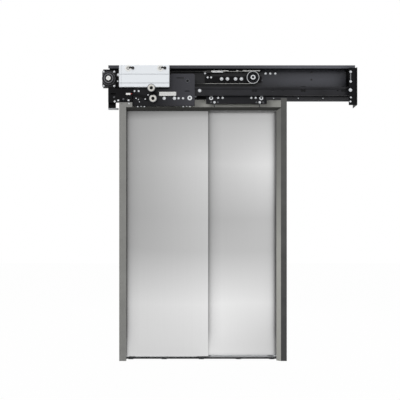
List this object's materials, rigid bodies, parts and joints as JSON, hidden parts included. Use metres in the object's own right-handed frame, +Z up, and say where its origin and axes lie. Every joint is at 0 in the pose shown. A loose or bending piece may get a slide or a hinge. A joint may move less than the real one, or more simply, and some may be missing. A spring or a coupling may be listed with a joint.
{
  "type": "elevator landing door",
  "caption": "Side-opening telescopic elevator landing door with a grey portal, brushed panels, hangers, header tracks, belt drive and lock.",
  "frame": {"origin": "centre of the clear opening at floor level, in the plane of the jambs' front faces", "axes": "+X to the right as seen from the landing, the way the panels open; +Y away from the landing, into the shaft; +Z up"},
  "size_m": [2.0417, 0.1592, 2.374],
  "materials": {
    "portal_grey": "satin grey paint",
    "portal_dark": "satin dark grey paint",
    "stainless": "vertically brushed stainless steel",
    "galvanised": "galvanised sheet",
    "black_steel": "black powder coat, semi-gloss",
    "track_steel": "black painted rolled profile",
    "zinc_steel": "bright zinc plate",
    "dark_sill": "dark anodised extrusion",
    "motor_black": "black paint",
    "anodised_case": "natural anodised extrusion",
    "contact_plastic": "pale moulded plastic",
    "belt_rubber": "matt",
    "shoe_plastic": "matt moulded",
    "roller_plastic": "cast nylon tread",
    "bearing_steel": "ground bearing ring",
    "pulley_aluminium": "turned",
    "release_metal": "turned ring"
  },
  "bodies": {
    "root": {"header_channel": "black_steel", "left_post": "black_steel", "left_post_foot": "galvanised", "right_end_bracket": "black_steel", "front_rail": "black_steel", "fast_track": "track_steel", "slow_track": "track_steel", "track_brackets": "black_steel", "header_bolts": "zinc_steel", "left_jamb": "portal_grey", "right_jamb": "portal_dark", "frame_head": "portal_grey", "rear_transom": "portal_grey", "corner_gusset": "portal_grey", "sill": "dark_sill", "sill_brackets": "dark_sill", "motor_bracket": "black_steel", "motor_body": "motor_black", "controller_case": "anodised_case", "controller_fixings": "anodised_case", "idler_bracket": "black_steel", "drive_belt": "belt_rubber", "lock_keeper": "black_steel", "rope_anchor": "zinc_steel", "stop_buffers": "belt_rubber"},
    "fast": {"fast_hanger": "black_steel", "fast_panel": "stainless", "fast_panel_frame": "galvanised", "fast_bolts": "zinc_steel", "fast_guide_shoes": "shoe_plastic", "lock_base": "black_steel", "contact_housing": "contact_plastic", "fast_rope_clamp": "zinc_steel"},
    "slow": {"slow_hanger": "black_steel", "slow_panel": "stainless", "slow_panel_frame": "galvanised", "slow_bolts": "zinc_steel", "slow_guide_shoes": "shoe_plastic", "drive_arm": "zinc_steel", "belt_clamp": "zinc_steel", "relative_rope": "zinc_steel"},
    "fast_roller_left": {"fast_roller_left": "roller_plastic"},
    "fast_roller_right": {"fast_roller_right": "roller_plastic"},
    "slow_roller_left": {"slow_roller_left": "roller_plastic"},
    "slow_roller_right": {"slow_roller_right": "roller_plastic"},
    "fast_counter_left": {"fast_counter_left": "bearing_steel"},
    "fast_counter_right": {"fast_counter_right": "bearing_steel"},
    "slow_counter_left": {"slow_counter_left": "bearing_steel"},
    "slow_counter_right": {"slow_counter_right": "bearing_steel"},
    "drive_pulley": {"drive_pulley": "pulley_aluminium"},
    "idler_pulley": {"idler_pulley": "pulley_aluminium"},
    "rope_pulley_left": {"rope_pulley_left": "pulley_aluminium"},
    "rope_pulley_right": {"rope_pulley_right": "pulley_aluminium"},
    "lock_hook": {"lock_hook": "zinc_steel"},
    "release_roller_upper": {"release_roller_upper": "release_metal"},
    "release_roller_lower": {"release_roller_lower": "release_metal"}
  },
  "joints": [
    {"name": "fast_slide", "type": "slide", "parent": "root", "child": "fast", "axis": [1, 0, 0], "range_m": [0, 1.216]},
    {"name": "slow_slide", "type": "slide", "parent": "root", "child": "slow", "axis": [1, 0, 0], "range_m": [0, 0.608]},
    {"name": "fast_roller_left_spin", "type": "hinge", "parent": "fast", "child": "fast_roller_left", "pos_m": [-0.493, 0.0412, 2.2403], "axis": [0, 1, 0], "range_deg": [0, 1593]},
    {"name": "fast_counter_left_spin", "type": "hinge", "parent": "fast", "child": "fast_counter_left", "pos_m": [-0.496, 0.0412, 2.1027], "axis": [0, 1, 0], "range_deg": [-3177, 0]},
    {"name": "slow_roller_left_spin", "type": "hinge", "parent": "slow", "child": "slow_roller_left", "pos_m": [0.131, 0.0802, 2.1653], "axis": [0, 1, 0], "range_deg": [0, 1752]},
    {"name": "slow_counter_left_spin", "type": "hinge", "parent": "slow", "child": "slow_counter_left", "pos_m": [0.079, 0.0802, 2.1137], "axis": [0, 1, 0], "range_deg": [-1945, 0]},
    {"name": "rope_pulley_left_spin", "type": "hinge", "parent": "slow", "child": "rope_pulley_left", "pos_m": [-0.09, 0.0572, 2.152], "axis": [0, 1, 0], "range_deg": [-1752, 0]},
    {"name": "fast_roller_right_spin", "type": "hinge", "parent": "fast", "child": "fast_roller_right", "pos_m": [-0.111, 0.0412, 2.2403], "axis": [0, 1, 0], "range_deg": [0, 1593]},
    {"name": "fast_counter_right_spin", "type": "hinge", "parent": "fast", "child": "fast_counter_right", "pos_m": [-0.093, 0.0412, 2.1027], "axis": [0, 1, 0], "range_deg": [-3177, 0]},
    {"name": "slow_roller_right_spin", "type": "hinge", "parent": "slow", "child": "slow_roller_right", "pos_m": [0.437, 0.0802, 2.1653], "axis": [0, 1, 0], "range_deg": [0, 1752]},
    {"name": "slow_counter_right_spin", "type": "hinge", "parent": "slow", "child": "slow_counter_right", "pos_m": [0.484, 0.0802, 2.1137], "axis": [0, 1, 0], "range_deg": [-1945, 0]},
    {"name": "rope_pulley_right_spin", "type": "hinge", "parent": "slow", "child": "rope_pulley_right", "pos_m": [0.596, 0.0572, 2.152], "axis": [0, 1, 0], "range_deg": [-1752, 0]},
    {"name": "drive_pulley_spin", "type": "hinge", "parent": "root", "child": "drive_pulley", "pos_m": [-0.747, 0.0982, 2.286], "axis": [0, 1, 0], "range_deg": [-736, 0]},
    {"name": "idler_pulley_spin", "type": "hinge", "parent": "root", "child": "idler_pulley", "pos_m": [0.42, 0.0982, 2.286], "axis": [0, 1, 0], "range_deg": [-736, 0]},
    {"name": "lock_hook_turn", "type": "hinge", "parent": "fast", "child": "lock_hook", "pos_m": [-0.387, 0.02245, 2.096], "axis": [0, 1, 0], "range_deg": [-12, 3]},
    {"name": "release_upper_spin", "type": "hinge", "parent": "lock_hook", "child": "release_roller_upper", "pos_m": [-0.398, -0.01575, 2.173], "axis": [0, 1, 0], "continuous": true},
    {"name": "release_lower_spin", "type": "hinge", "parent": "fast", "child": "release_roller_lower", "pos_m": [-0.387, 0.01295, 2.096], "axis": [0, 1, 0], "continuous": true}
  ],
  "couplings": [
    {"joint": "slow_slide", "follows": "fast_slide", "ratio": 0.5},
    {"joint": "fast_roller_left_spin", "follows": "fast_slide", "rad_per_m": 22.727},
    {"joint": "fast_counter_left_spin", "follows": "fast_slide", "rad_per_m": -45.455},
    {"joint": "slow_roller_left_spin", "follows": "fast_slide", "rad_per_m": 25},
    {"joint": "slow_counter_left_spin", "follows": "fast_slide", "rad_per_m": -27.778},
    {"joint": "rope_pulley_left_spin", "follows": "fast_slide", "rad_per_m": -25},
    {"joint": "fast_roller_right_spin", "follows": "fast_slide", "rad_per_m": 22.727},
    {"joint": "fast_counter_right_spin", "follows": "fast_slide", "rad_per_m": -45.455},
    {"joint": "slow_roller_right_spin", "follows": "fast_slide", "rad_per_m": 25},
    {"joint": "slow_counter_right_spin", "follows": "fast_slide", "rad_per_m": -27.778},
    {"joint": "rope_pulley_right_spin", "follows": "fast_slide", "rad_per_m": -25},
    {"joint": "drive_pulley_spin", "follows": "fast_slide", "rad_per_m": -10.417},
    {"joint": "idler_pulley_spin", "follows": "fast_slide", "rad_per_m": -10.417}
  ]
}
